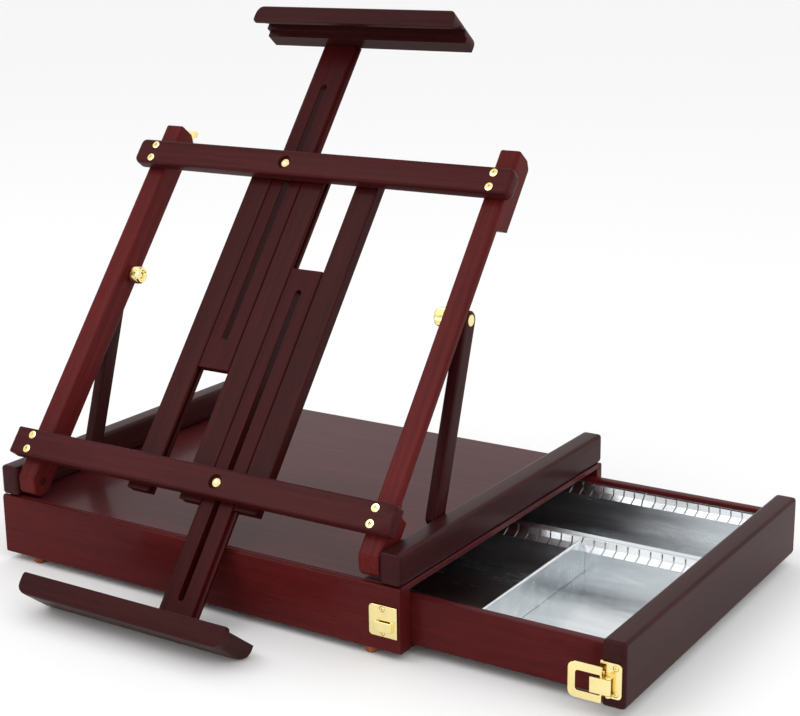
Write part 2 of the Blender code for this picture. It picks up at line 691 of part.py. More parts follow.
def build_strut(side, frame):
    """One strut with its bolt and thumb nut; side is -1 for left and 1 for right."""
    label = "left" if side < 0 else "right"
    angle, length = strut_rest_angle()
    hub = make_empty(label + "_strut_axis", (0, STRUT_PIVOT_BACK, STRUT_PIVOT_Z), angle, frame)
    half = STRUT_WIDTH / 2
    end = -length - STRUT_PAST_FOOT
    outline = arc_points((0, 0), half, 0, 180, 8)
    foot = [(-half, end, STRUT_END_ROUND), (half, end, STRUT_END_ROUND), (half, 0, 0), (-half, 0, 0)]
    outline += rounded_outline(foot, 5)[:-2]
    outer = ARM_OUTER_X
    low, high = sorted((side * (outer - STRUT_THICK), side * outer))
    name = label + "_strut"
    strut = slab(name, outline, low, high, "YZX", wood(name), hub)
    round_edges(strut, 1.2 * MM, 1)
    hole = STRUT_BOLT_RADIUS + GAP
    inside = side * (outer - STRUT_THICK - MM)
    cut_hole(strut, "bolt_hole", hole, (side, 0, 0), (inside, 0, 0), STRUT_THICK + 2 * MM, hub)
    head = STRUT_BOLT_HEAD_RADIUS
    pocket = STRUT_BOLT_HEAD_DEPTH + GAP
    pocket_start = (side * (outer - pocket), 0, 0)
    cut_hole(strut, "head_pocket", head + GAP, (side, 0, 0), pocket_start, pocket + MM, hub)
    pivot = (0, STRUT_PIVOT_BACK, STRUT_PIVOT_Z)
    tip = ARM_INNER_X - THUMB_NUT_LENGTH + 2.5 * MM
    profile = [(0, outer), (head, outer), (head, outer - STRUT_BOLT_HEAD_DEPTH),
               (STRUT_BOLT_RADIUS, outer - STRUT_BOLT_HEAD_DEPTH), (STRUT_BOLT_RADIUS, tip), (0, tip)]
    name = label + "_strut_bolt"
    turned(name, profile, (side, 0, 0), pivot, brass(name), frame, 16)
    bore = STRUT_BOLT_RADIUS + GAP
    full = THUMB_NUT_RADIUS
    ring = [(bore, -GAP), (full - 2.2 * MM, -GAP), (full - 1.4 * MM, -1 * MM), (full - 1.4 * MM, -2.4 * MM),
            (full, -3.2 * MM), (full, -8.4 * MM), (full - 1 * MM, -9.6 * MM),
            (full - 2.6 * MM, -THUMB_NUT_LENGTH),
            (full - 3.4 * MM, -THUMB_NUT_LENGTH), (bore, -10 * MM)]
    name = label + "_thumb_nut"
    nut_hub = make_empty(name + "_axis", (side * ARM_INNER_X, STRUT_PIVOT_BACK, STRUT_PIVOT_Z), 0, frame)
    turned(name, ring, (side, 0, 0), (0, 0, 0), brass(name), nut_hub, ring=True)


def build_frame():
    """Everything that tilts: arms, crossbars, mast, sliders and struts."""
    frame = make_empty("frame_tilt_axis", (0, PIVOT_Y, PIVOT_Z), -FRAME_LEAN)
    arms = [build_arm(side, frame) for side in (-1, 1)]
    top = build_crossbar("top_crossbar", TOP_CROSSBAR_Z, TOP_CROSSBAR_CORNER, frame, arms)
    bottom = build_crossbar("bottom_crossbar", BOTTOM_CROSSBAR_Z, BOTTOM_CROSSBAR_CORNER, frame, arms)
    build_clamp("upper", top, UPPER_X, TOP_CROSSBAR_Z, frame)
    build_clamp("lower", bottom, LOWER_X, BOTTOM_CROSSBAR_Z, frame)
    build_mast(frame)
    holder_ledge = HOLDER_OUTER_Z - MOULDING_LEDGE
    tray_ledge = TRAY_OUTER_Z + MOULDING_LEDGE
    build_slider("upper_slider", UPPER_X, UPPER_SLIDER_BOTTOM, holder_ledge - GAP, UPPER_SLOT, frame)
    build_slider("lower_slider", LOWER_X, tray_ledge + GAP, LOWER_SLIDER_TOP, LOWER_SLOT, frame)
    build_moulding("top_holder", holder_section(), HOLDER_LENGTH, HOLDER_OUTER_Z, -1, frame)
    build_moulding("bottom_tray", tray_section(), TRAY_LENGTH, TRAY_OUTER_Z, 1, frame)
    for side in (-1, 1):
        build_strut(side, frame)
    build_catch(frame)


def build_catch(frame):
    """The brass plate on the left arm's back, bent into a hook at its top."""
    near = ARM_BACK + GAP
    top = ARM_TOP + CATCH_ABOVE_ARM
    bend = near + CATCH_SHEET
    outline = [(near, top - CATCH_HEIGHT), (bend, top - CATCH_HEIGHT), (bend, top - CATCH_HOOK),
               (near + CATCH_HOOK, top - CATCH_HOOK), (near + CATCH_HOOK, top), (near, top)]
    left = -(ARM_INNER_X + ARM_OUTER_X + CATCH_WIDTH) / 2
    slab("arm_catch", outline, left, left + CATCH_WIDTH, "YZX", brass("arm_catch"), frame)


# ---------------------------------------------------------------- drawer

def build_liner():
    """The folded sheet liner: two compartments with a hollow ridge between them."""
    low = Vector((DRAWER_LEFT_X + DRAWER_SIDE + GAP, DRAWER_FRONT_Y + DRAWER_SIDE + GAP,
                  DRAWER_BOTTOM_Z + DRAWER_BOTTOM + GAP))
    high = Vector((DRAWER_PANEL_X - 2 * GAP, DRAWER_BACK_Y - DRAWER_SIDE - GAP, low.z + LINER_HEIGHT))
    liner = block("drawer_liner", low, high, tin("drawer_liner"))
    sheet = LINER_SHEET
    ridge = low.y + LINER_FRONT_COMPARTMENT
    pockets = (("front_pocket", low.y + sheet, ridge), ("back_pocket", ridge + LINER_RIDGE, high.y - sheet))
    for label, start, end in pockets:
        pocket = block("drawer_liner_" + label, (low.x + sheet, start, low.z + sheet),
                       (high.x - sheet, end, high.z + MM), None)
        combine(liner, pocket)
    under = block("drawer_liner_ridge", (low.x + sheet, ridge + sheet, low.z - MM),
                  (high.x - sheet, ridge + LINER_RIDGE - sheet, high.z - sheet), None)
    combine(liner, under)
    x = DRAWER_PANEL_X - DIVIDER_FROM_PANEL
    half = DIVIDER_SHEET / 2
    roll = DIVIDER_ROLL / 2
    foot, top = low.z + sheet + GAP, high.z
    outline = [(x + half, foot), (x + half, top - DIVIDER_ROLL), (x + roll, top - DIVIDER_ROLL * 0.7),
               (x + roll, top - DIVIDER_ROLL * 0.3), (x + half, top), (x - half, top),
               (x - roll, top - DIVIDER_ROLL * 0.3), (x - roll, top - DIVIDER_ROLL * 0.7),
               (x - half, top - DIVIDER_ROLL), (x - half, foot)]
    slab("drawer_divider", outline, low.y + sheet + GAP, ridge - GAP, "XZY", tin("drawer_divider"))


def build_drawer():
    """The drawer box, its panel, liner and divider."""
    low_z, high_z = DRAWER_SIDE_Z
    right_x = DRAWER_PANEL_X - GAP
    panel_low = (DRAWER_PANEL_X, FRONT_Y, DRAWER_PANEL_Z[0])
    panel_high = (DRAWER_PANEL_X + DRAWER_PANEL, BACK_Y, DRAWER_PANEL_Z[1])
    panel = block("drawer_panel", panel_low, panel_high, wood("drawer_panel"), edge=WOOD_ROUND)
    block("drawer_front_side", (DRAWER_LEFT_X, DRAWER_FRONT_Y, low_z),
          (right_x, DRAWER_FRONT_Y + DRAWER_SIDE, high_z), wood("drawer_front_side"), edge=1 * MM, segments=1)
    block("drawer_back_side", (DRAWER_LEFT_X, DRAWER_BACK_Y - DRAWER_SIDE, low_z),
          (right_x, DRAWER_BACK_Y, high_z), wood("drawer_back_side"), edge=1 * MM, segments=1)
    inner_low, inner_high = DRAWER_FRONT_Y + DRAWER_SIDE + GAP, DRAWER_BACK_Y - DRAWER_SIDE - GAP
    block("drawer_inner_end", (DRAWER_LEFT_X, inner_low, low_z),
          (DRAWER_LEFT_X + DRAWER_SIDE, inner_high, high_z), wood("drawer_inner_end"), edge=1 * MM, segments=1)
    block("drawer_bottom", (DRAWER_LEFT_X + DRAWER_SIDE + GAP, inner_low, DRAWER_BOTTOM_Z),
          (right_x, inner_high, DRAWER_BOTTOM_Z + DRAWER_BOTTOM), plywood("drawer_bottom"))
    build_liner()
    build_latch(panel)


# ---------------------------------------------------------------- latch

def plate_outline(left, right, low, high, left_round, right_round):
    return rounded_outline([(left, low, left_round), (right, low, right_round),
                            (right, high, right_round), (left, high, left_round)])


def small_screws(prefix, x, centre_z, plate, backing):
    """Two small screws, one above the other, through a plate on the front."""
    sizes = (SMALL_SCREW_HEAD, SMALL_SCREW_SHANK, PLATE * 0.8, SMALL_SCREW_LENGTH)
    for label, sign in (("lower", -1), ("upper", 1)):
        point = (x, FRONT_Y - GAP - PLATE, centre_z + sign * SMALL_SCREW_SPREAD / 2)
        wood_screw(prefix + "_screw_" + label, point, (0, -1, 0), None, sizes, (plate, backing))


def build_latch(panel):
    """The toggle latch: base with ears, pin, lever and bail."""
    face = FRONT_Y - GAP
    left = DRAWER_PANEL_X
    right = left + LATCH_BASE_WIDTH
    low, high = LATCH_CENTRE_Z - LATCH_HEIGHT / 2, LATCH_CENTRE_Z + LATCH_HEIGHT / 2
    base = slab("latch_base", plate_outline(left, right, low, high, 0, LATCH_CORNER), face - PLATE, face, "XZY",
                brass("latch_base"))
    pin_x = left + LATCH_PIN_FROM_PLATE_EDGE
    pin_y = face - LATCH_PIN_HEIGHT
    ear_half = LATCH_KNUCKLE_RADIUS
    spread = LATCH_EAR_SPREAD / 2
    for label, start in (("lower", -spread), ("upper", spread - LATCH_EAR)):
        z = LATCH_PIN_Z + start
        outline = [(pin_x + ear_half, face - PLATE / 2), (pin_x - ear_half, face - PLATE / 2)]
        outline += arc_points((pin_x, pin_y), ear_half, 180, 360, 6)
        ear = slab("latch_base_ear_" + label, outline, z, z + LATCH_EAR, "XYZ", None)
        combine(base, ear, "UNION")
    hole = LATCH_PIN_RADIUS + GAP
    cut_hole(base, "pin_hole", hole, (0, 0, 1), (pin_x, pin_y, low), LATCH_HEIGHT, None, SMALL_TURN_STEPS)
    pin_profile = rod_profile(LATCH_PIN_RADIUS, LATCH_PIN_Z - spread, LATCH_PIN_Z + spread)
    turned("latch_pin", pin_profile, (0, 0, 1), (pin_x, pin_y, 0), brass("latch_pin"), steps=SMALL_TURN_STEPS)
    small_screws("latch", left + SMALL_SCREW_FROM_LEFT, LATCH_CENTRE_Z, base, panel)
    build_lever(pin_x, pin_y, hole)
    build_bail(pin_x, pin_y)


def build_lever(pin_x, pin_y, hole):
    """The lever that the bail hangs on, thrown open to the left."""
    half = LATCH_EAR_SPREAD / 2 - LATCH_EAR - GAP
    rod_x = pin_x - LEVER_THROW
    outer = LATCH_KNUCKLE_RADIUS
    outline = arc_points((pin_x, pin_y), outer, -90, 90, 6)
    outline += arc_points((rod_x, pin_y), outer, 90, 180, 3)
    outline += [(rod_x - outer, pin_y - outer + LEVER_THICK),
                (pin_x - LEVER_LENGTH, pin_y - outer + LEVER_THICK * 0.6),
                (pin_x - LEVER_LENGTH, pin_y - outer - LEVER_THICK * 0.4)]
    lever_axis = make_empty("latch_lever_axis", (pin_x, pin_y, LATCH_PIN_Z))
    shift = [(x - pin_x, y - pin_y) for x, y in outline]
    lever = slab("latch_lever", shift, -half, half, "XYZ", brass("latch_lever"), lever_axis)
    reach = 2 * half + 2 * MM
    cut_hole(lever, "pin_hole", hole, (0, 0, 1), (0, 0, -half - MM), reach, lever_axis, SMALL_TURN_STEPS)
    cut_hole(lever, "rod_hole", BAIL_ROD_RADIUS + GAP, (0, 0, 1), (-LEVER_THROW, 0, -half - MM), reach,
             lever_axis, SMALL_TURN_STEPS)


def build_bail(pin_x, pin_y):
    """The flat loop that hooks over the keeper, with the rod it turns on."""
    rod_x = pin_x - LEVER_THROW
    axis = make_empty("latch_bail_axis", (rod_x, pin_y, LATCH_PIN_Z))
    half = LATCH_HEIGHT / 2
    inner = half - BAIL_STRAP
    outer_loop = plate_outline(-BAIL_REACH, BAIL_ROD_RADIUS, -half, half, BAIL_CORNER, 0.5 * MM)
    bail = slab("latch_bail", outer_loop, -BAIL_THICK / 2, BAIL_THICK / 2, "XZY", brass("latch_bail"), axis)
    window = plate_outline(-BAIL_REACH + BAIL_STRAP, BAIL_ROD_RADIUS + MM, -inner, inner, BAIL_WINDOW_CORNER, 0)
    combine(bail, slab("latch_bail_window", window, -BAIL_THICK, BAIL_THICK, "XZY", None, axis))
    rod = turned("latch_bail_rod", rod_profile(BAIL_ROD_RADIUS, -half + MM, half - MM), (0, 0, 1), (0, 0, 0),
                 None, axis, SMALL_TURN_STEPS)
    combine(bail, rod, "UNION")


def build_keeper():
    """The plate on the box that the bail hooks onto."""
    face = FRONT_Y - GAP
    right = RIGHT_X - KEEPER_FROM_END
    left = right - KEEPER_WIDTH
    low, high = KEEPER_CENTRE_Z - KEEPER_HEIGHT / 2, KEEPER_CENTRE_Z + KEEPER_HEIGHT / 2
    outline = plate_outline(left, right, low, high, LATCH_CORNER, 0)
    plate = slab("keeper_plate", outline, face - PLATE, face, "XZY", brass("keeper_plate"))
    reach, lift, height = KEEPER_HOOK
    hook_right = right - KEEPER_HOOK_FROM_EDGE
    z = KEEPER_CENTRE_Z - height / 2 - KEEPER_HOOK_DROP
    crest = face - PLATE - lift
    under = crest + KEEPER_HOOK_SHEET
    foot = hook_right - KEEPER_HOOK_FOOT
    outline = [(hook_right, face - PLATE / 2), (hook_right, crest), (hook_right - reach, crest),
               (hook_right - reach, under), (foot, under), (foot, face - PLATE / 2)]
    combine(plate, slab("keeper_plate_hook", outline, z, z + height, "XYZ", None), "UNION")
    wall = bpy.data.objects["front_wall"]
    small_screws("keeper", left + SMALL_SCREW_FROM_LEFT, KEEPER_CENTRE_Z, plate, wall)


clear_scene()
MODEL = make_collection(COLLECTION_NAME)
CUTTERS = make_collection("cutters")
build_box()
build_keeper()
build_frame()
build_drawer()
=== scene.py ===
"""Looks for the wooden table easel: varnished mahogany, bright brass and tinplate."""
import json
import math

import bmesh
import bpy
from mathutils import Matrix, Vector


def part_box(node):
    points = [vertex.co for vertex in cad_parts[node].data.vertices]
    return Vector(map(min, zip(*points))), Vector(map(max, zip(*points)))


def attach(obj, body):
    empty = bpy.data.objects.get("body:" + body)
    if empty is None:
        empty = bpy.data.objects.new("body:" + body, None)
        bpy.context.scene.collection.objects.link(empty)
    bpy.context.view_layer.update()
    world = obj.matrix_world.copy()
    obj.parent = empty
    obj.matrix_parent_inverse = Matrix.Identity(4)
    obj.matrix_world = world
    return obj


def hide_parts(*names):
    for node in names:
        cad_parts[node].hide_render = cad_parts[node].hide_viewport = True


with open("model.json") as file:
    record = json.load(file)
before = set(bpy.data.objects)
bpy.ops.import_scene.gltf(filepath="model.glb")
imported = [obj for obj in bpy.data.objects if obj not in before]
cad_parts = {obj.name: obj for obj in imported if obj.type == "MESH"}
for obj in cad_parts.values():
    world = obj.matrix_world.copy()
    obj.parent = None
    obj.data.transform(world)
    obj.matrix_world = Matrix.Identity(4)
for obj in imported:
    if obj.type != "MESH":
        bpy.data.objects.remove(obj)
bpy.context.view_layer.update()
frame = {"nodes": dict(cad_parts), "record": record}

NODES = frame["nodes"]
BODIES = {node: body for body, nodes in frame["record"]["behaviour"]["bodies"].items() for node in nodes}
SLOTS = {row["node"]: row["material_slot"] for row in frame["record"]["subparts"]}
MM = 0.001
FLOOR_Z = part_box("foot_front_left")[0].z
LEAN = math.radians(38.1)
FORWARD = (0, -math.cos(LEAN), math.sin(LEAN))

# Camera and lights
CAMERA_PLACE = (0.79698, -1.09575, 0.52309)
CAMERA_YAW = 0.5695
CAMERA_PITCH = -0.2633
CAMERA_ROLL = -0.0114
CAMERA_LENS = 73.9
FLOOR_HALF = 60.0
KEY_POWER = 14
FILL_POWER = 8

# Softened edges, and the angles in degrees above which shading creases
BOARD_SOFT = 0.5 * MM
WOOD_SOFT = 0.35 * MM
PLATE_SOFT = 0.3 * MM
CUT_CREASE = 35
KNURL_CREASE = 12

# Screws: the cross recess is given in shares of the head's radius
SCREW_STEPS = 32
CROSS_DEPTH = 0.42
CROSS_WIDTH = 0.24
CROSS_REACH = 0.66

# Knurled nuts
NUT_STEPS = 96
KNURL_DEPTH = 0.35 * MM
NUT_BORE = 2.8 * MM
THUMB_NUT_DISH = 1.6 * MM
CLAMP_NUT_DISH = 1.0 * MM

# Divider and the liner's slotted flanges
DIVIDER_HALF_SHEET = 0.35 * MM
BEAD_STEPS = 20
COMB_REACH = 9.5 * MM
COMB_DROP = 8.5 * MM
COMB_PITCH = 9.8 * MM
COMB_SLOT = 1.3 * MM
COMB_BEND = 1.8 * MM
COMB_SHEET = 0.5 * MM
COMB_CLEAR = 0.6 * MM


# ---------------------------------------------------------------- materials

def new_material(name):
    material = bpy.data.materials.new(name)
    material.use_nodes = True
    tree = material.node_tree
    return material, tree, tree.nodes["Principled BSDF"]


def add(tree, kind, **values):
    node = tree.nodes.new(kind)
    for key, value in values.items():
        setattr(node, key, value)
    return node


def mapped(tree, rotation, scale, offset=(0, 0, 0)):
    """Object coordinates, turned into the piece's own axes and stretched."""
    coords = add(tree, "ShaderNodeTexCoord")
    turn = add(tree, "ShaderNodeMapping")
    turn.inputs["Rotation"].default_value = rotation
    turn.inputs["Location"].default_value = offset
    tree.links.new(coords.outputs["Object"], turn.inputs["Vector"])
    stretch = add(tree, "ShaderNodeMapping")
    stretch.inputs["Scale"].default_value = scale
    tree.links.new(turn.outputs["Vector"], stretch.inputs["Vector"])
    return stretch.outputs["Vector"]


def noise(tree, vector, scale=1.0, detail=4.0, roughness=0.55, distortion=0.0):
    node = add(tree, "ShaderNodeTexNoise")
    node.inputs["Scale"].default_value = scale
    node.inputs["Detail"].default_value = detail
    node.inputs["Roughness"].default_value = roughness
    node.inputs["Distortion"].default_value = distortion
    tree.links.new(vector, node.inputs["Vector"])
    return node.outputs["Fac"]


def ramp(tree, value, stops):
    node = add(tree, "ShaderNodeValToRGB")
    elements = node.color_ramp.elements
    while len(elements) < len(stops):
        elements.new(0.5)
    for element, (place, colour) in zip(elements, stops):
        element.position = place
        element.color = (*colour, 1) if len(colour) == 3 else colour
    tree.links.new(value, node.inputs["Fac"])
    return node.outputs["Color"]


def mix(tree, factor, first, second, blend="MIX"):
    node = add(tree, "ShaderNodeMix", data_type="RGBA", blend_type=blend)
    if isinstance(factor, float):
        node.inputs[0].default_value = factor
    else:
        tree.links.new(factor, node.inputs[0])
    tree.links.new(first, node.inputs[6])
    tree.links.new(second, node.inputs[7])
    return node.outputs[2]


def span(tree, value, low, high):
    node = add(tree, "ShaderNodeMapRange")
    node.inputs["To Min"].default_value = low
    node.inputs["To Max"].default_value = high
    tree.links.new(value, node.inputs["Value"])
    return node.outputs["Result"]


def bump(tree, shader, height, strength, distance):
    node = add(tree, "ShaderNodeBump")
    node.inputs["Strength"].default_value = strength
    node.inputs["Distance"].default_value = distance
    tree.links.new(height, node.inputs["Height"])
    tree.links.new(node.outputs["Normal"], shader.inputs["Normal"])


def grain_scale(axis, along, across):
    return tuple(along if "XYZ"[i] == axis else across for i in range(3))


def scaled(colour, factor):
    return tuple(min(1.0, channel * factor) for channel in colour)


def wood_material(name, axis, colour, tilt=0.0, coat=0.04, seed=0.0, contrast=0.24, pores=0.30):
    """Stained, varnished mahogany with its grain along one of the piece's own axes."""
    material, tree, shader = new_material(name)
    rotation = (tilt, 0, 0)
    offset = (seed, seed * 0.7, seed * 1.3)
    bands = noise(tree, mapped(tree, rotation, grain_scale(axis, 7, 260), offset), detail=5, distortion=0.3)
    cloud = noise(tree, mapped(tree, rotation, grain_scale(axis, 5, 18), offset), detail=2)
    fibre = noise(tree, mapped(tree, rotation, grain_scale(axis, 60, 2400), offset), detail=3, roughness=0.7)
    tint = ramp(tree, bands, [(0.30, scaled(colour, 1 - contrast)), (0.52, colour),
                              (0.76, scaled(colour, 1 + contrast))])
    tone = ramp(tree, cloud, [(0.30, (0.84, 0.80, 0.80)), (0.70, (1.12, 1.10, 1.08))])
    tint = mix(tree, 1.0, tint, tone, "MULTIPLY")
    pore = ramp(tree, fibre, [(0.36, (1 - pores, 1 - pores, 1 - pores)), (0.50, (1, 1, 1))])
    tint = mix(tree, 1.0, tint, pore, "MULTIPLY")
    tree.links.new(tint, shader.inputs["Base Color"])
    tree.links.new(span(tree, fibre, 0.30, 0.44), shader.inputs["Roughness"])
    bump(tree, shader, fibre, 0.08, 0.0001)
    shader.inputs["Coat Weight"].default_value = coat
    shader.inputs["Coat Roughness"].default_value = 0.14
    shader.inputs["Specular IOR Level"].default_value = 0.05
    return material


def metal_material(name, colour, rough_low, rough_high, mottle=0.06, scale=60.0, stretch=None):
    """Bright plated metal with faint mottling and fine polishing marks."""
    material, tree, shader = new_material(name)
    vector = mapped(tree, (0, 0, 0), stretch or (scale, scale, scale))
    spots = noise(tree, vector, detail=3)
    marks = noise(tree, mapped(tree, (0, 0, 0), (900, 900, 900)), detail=2)
    low = tuple(c * (1 - mottle) for c in colour)
    high = tuple(min(1.0, c * (1 + mottle)) for c in colour)
    tree.links.new(ramp(tree, spots, [(0.3, low), (0.7, high)]), shader.inputs["Base Color"])
    tree.links.new(span(tree, spots, rough_low, rough_high), shader.inputs["Roughness"])
    bump(tree, shader, marks, 0.05, 0.00005)
    shader.inputs["Metallic"].default_value = 1.0
    return material


BOARDS = ("left_arm", "right_arm", "mast_bar_left", "mast_bar_centre", "mast_bar_right",
          "upper_slider", "lower_slider", "top_panel", "bottom_panel", "drawer_bottom")
ALONG_X = ("front_wall", "back_wall", "drawer_front_side", "drawer_back_side")
ARM_RED = (0.098, 0.0095, 0.0098)
MAST_RED = (0.038, 0.0042, 0.0044)
BAR_RED = (0.058, 0.0085, 0.0095)
SLIDER_RED = (0.042, 0.0026, 0.0034)
DARK_RED = (0.038, 0.0075, 0.0080)
WALL_RED = (0.082, 0.0085, 0.0090)
PANEL_RED = (0.074, 0.0110, 0.0130)
FOOT_BROWN = (0.30, 0.10, 0.04)

WOODS = {
    "arms": wood_material("mahogany_arms", "Z", ARM_RED, LEAN, seed=0.11),
    "mast": wood_material("mahogany_mast", "Z", MAST_RED, LEAN, seed=0.47),
    "sliders": wood_material("mahogany_sliders", "Z", SLIDER_RED, LEAN, seed=0.65),
    "bars": wood_material("mahogany_crossbars", "X", BAR_RED, LEAN, seed=0.83),
    "moulding": wood_material("mahogany_moulding", "X", DARK_RED, LEAN, seed=1.21),
    "struts": wood_material("mahogany_struts", "Z", DARK_RED, LEAN / 2, seed=1.57),
    "long": wood_material("mahogany_walls", "X", WALL_RED, seed=1.93, contrast=0.15, coat=0.06),
    "cross": wood_material("mahogany_rails", "Y", DARK_RED, seed=2.31, coat=0.08),
    "ply": wood_material("stained_plywood", "X", PANEL_RED, seed=2.77, coat=0.14, pores=0.2),
    "pin": wood_material("mahogany_pins", "X", DARK_RED, seed=3.1),
    "foot": wood_material("plain_feet", "Z", FOOT_BROWN, seed=3.4),
}
BRASS = metal_material("bright_brass", (0.95, 0.80, 0.38), 0.10, 0.22)
TIN = metal_material("bright_tinplate", (0.74, 0.77, 0.79), 0.16, 0.34, mottle=0.10, stretch=(14, 70, 70))


def wood_for(node):
    if node in ("left_arm", "right_arm"):
        return WOODS["arms"]
    if node.startswith("mast_bar"):
        return WOODS["mast"]
    if node.endswith("_slider"):
        return WOODS["sliders"]
    if node.endswith("crossbar"):
        return WOODS["bars"]
    if node in ("top_holder", "bottom_tray"):
        return WOODS["moulding"]
    if node.endswith("_strut"):
        return WOODS["struts"]
    if node in ALONG_X:
        return WOODS["long"]
    if node.endswith("_pin"):
        return WOODS["pin"]
    return WOODS["cross"]


def material_for(node):
    kind = SLOTS[node]
    if kind == "brass":
        return BRASS
    if kind == "tinplate":
        return TIN
    if kind == "plywood":
        return WOODS["ply"]
    if kind == "foot":
        return WOODS["foot"]
    return wood_for(node)


# ---------------------------------------------------------------- pieces

def joined(name, bm, node, material):
    """A new piece from a bmesh, riding and finished as the CAD node it stands for."""
    mesh = bpy.data.meshes.new(name)
    bm.to_mesh(mesh)
    bm.free()
    obj = bpy.data.objects.new(name, mesh)
    bpy.context.scene.collection.objects.link(obj)
    mesh.materials.append(material)
    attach(obj, BODIES[node])
    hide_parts(node)
    return obj


def smoothed(bm, angle=50.0):
    limit = math.radians(angle)
    for face in bm.faces:
        face.smooth = True
    for edge in bm.edges:
        edge.smooth = len(edge.link_faces) == 2 and edge.calc_face_angle(0.0) < limit


def reshade(obj, crease):
    """Shade a finished mesh smooth up to a crease angle, in degrees."""
    bm = bmesh.new()
    bm.from_mesh(obj.data)
    smoothed(bm, crease)
    bm.to_mesh(obj.data)
    bm.free()


def refined(node, bevel=0.0):
    """The CAD shape with welded vertices, even shading and, where asked, softened edges."""
    bm = bmesh.new()
    bm.from_mesh(NODES[node].data)
    bmesh.ops.remove_doubles(bm, verts=bm.verts, dist=1e-6)
    bmesh.ops.dissolve_limit(bm, angle_limit=math.radians(0.2), verts=bm.verts, edges=bm.edges)
    smoothed(bm)
    obj = joined(node + "_finish", bm, node, material_for(node))
    if bevel > 0:
        soften = obj.modifiers.new("soften", "BEVEL")
        soften.width = bevel
        soften.segments = 2
        soften.limit_method = "ANGLE"
        soften.angle_limit = math.radians(50)
        soften.harden_normals = True
    weighted = obj.modifiers.new("weighted", "WEIGHTED_NORMAL")
    weighted.keep_sharp = True


def turned_frame(node, axis):
    """The matrix from a turned piece's own axes to the model, with its radius and its length.

    Its own Z runs along the axis; its origin is the middle of the end that Z points to.
    """
    axis = Vector(axis).normalized()
    side = axis.orthogonal().normalized()
    other = axis.cross(side)
    points = [vert.co for vert in NODES[node].data.vertices]
    spans = []
    for direction in (side, other, axis):
        reach = [point.dot(direction) for point in points]
        spans.append((min(reach), max(reach)))
    radius = (spans[0][1] - spans[0][0]) / 2
    length = spans[2][1] - spans[2][0]
    origin = side * (spans[0][0] + radius) + other * (spans[1][0] + radius) + axis * spans[2][1]
    basis = Matrix((side, other, axis)).transposed().to_4x4()
    return Matrix.Translation(origin) @ basis, radius, length


def lathe(profile, steps, matrix, knurl=None):
    """Turn (radius, height) pairs, top to bottom, about Z; knurl ridges the rings named in it."""
    bm = bmesh.new()
    rings = []
    for index, (radius, height) in enumerate(profile):
        if radius == 0:
            rings.append([bm.verts.new((0, 0, height))])
            continue
        ring = []
        for step in range(steps):
            angle = 2 * math.pi * step / steps
            depth = KNURL_DEPTH if knurl and index in knurl and step % 2 else 0.0
            reach = radius - depth
            ring.append(bm.verts.new((reach * math.cos(angle), reach * math.sin(angle), height)))
        rings.append(ring)
    for upper, lower in zip(rings, rings[1:]):
        for step in range(steps):
            after = (step + 1) % steps
            corners = [upper[step % len(upper)], lower[step % len(lower)],
                       lower[after % len(lower)], upper[after % len(upper)]]
            bm.faces.new(list(dict.fromkeys(corners)))
    if len(rings[0]) > 1:
        for step in range(steps):
            after = (step + 1) % steps
            bm.faces.new((rings[-1][step], rings[0][step], rings[0][after], rings[-1][after]))
    bm.transform(matrix)
    bmesh.ops.recalc_face_normals(bm, faces=bm.faces)
    return bm


def cross_cutter(radius, matrix):
    """Two crossed bars, narrowing downwards, that cut a cross recess in a screw's head."""
    bm = bmesh.new()
    for turn in (0, math.pi / 2):
        made = bmesh.ops.create_cube(bm, size=1.0)["verts"]
        for vert in made:
            narrow = 1.0 if vert.co.z > 0 else 0.45
            vert.co.x *= 2 * radius * CROSS_REACH * narrow
            vert.co.y *= radius * CROSS_WIDTH * 2 * narrow
            vert.co.z *= 2 * radius * CROSS_DEPTH
        bmesh.ops.rotate(bm, verts=made, cent=(0, 0, 0), matrix=Matrix.Rotation(turn + math.pi / 4, 3, "Z"))
    bm.transform(matrix)
    return bm


def applied_cut(obj, cutter_bm):
    """Cut a mesh for good and leave no cutter behind."""
    mesh = bpy.data.meshes.new("cutter")
    cutter_bm.to_mesh(mesh)
    cutter_bm.free()
    cutter = bpy.data.objects.new("cutter", mesh)
    bpy.context.scene.collection.objects.link(cutter)
    cut = obj.modifiers.new("cut", "BOOLEAN")
    cut.object = cutter
    cut.solver = "EXACT"
    cut.use_self = True
    bpy.context.view_layer.update()
    graph = bpy.context.evaluated_depsgraph_get()
    result = bpy.data.meshes.new_from_object(obj.evaluated_get(graph))
    obj.modifiers.remove(cut)
    obj.data = result
    bpy.data.objects.remove(cutter, do_unlink=True)
    reshade(obj, CUT_CREASE)


def screw(node, axis):
    """A countersunk screw with a slightly domed head and a cross recess."""
    matrix, radius, length = turned_frame(node, axis)
    shank = radius * 0.43
    depth = radius * 0.6
    profile = [(0, 0), (radius * 0.55, -0.02 * radius), (radius * 0.93, -0.08 * radius),
               (radius, -0.17 * radius), (shank, -depth), (shank, -length), (0, -length)]
    obj = joined(node + "_finish", lathe(profile, SCREW_STEPS, matrix), node, material_for(node))
    applied_cut(obj, cross_cutter(radius, matrix))


def knurled_nut(node, axis, dish):
    """A turned brass nut with a knurled rim, a bevelled shoulder and a dished face."""
    matrix, radius, length = turned_frame(node, axis)
    profile = [(NUT_BORE, -dish), (radius * 0.50, -dish), (radius * 0.62, 0), (radius * 0.80, 0),
               (radius * 0.94, -0.10 * length), (radius, -0.18 * length), (radius, -0.72 * length),
               (radius * 0.94, -0.80 * length), (radius * 0.80, -0.82 * length), (radius * 0.72, -length),
               (NUT_BORE, -length)]
    obj = joined(node + "_finish", lathe(profile, NUT_STEPS, matrix, knurl=(5, 6)), node, material_for(node))
    reshade(obj, KNURL_CREASE)


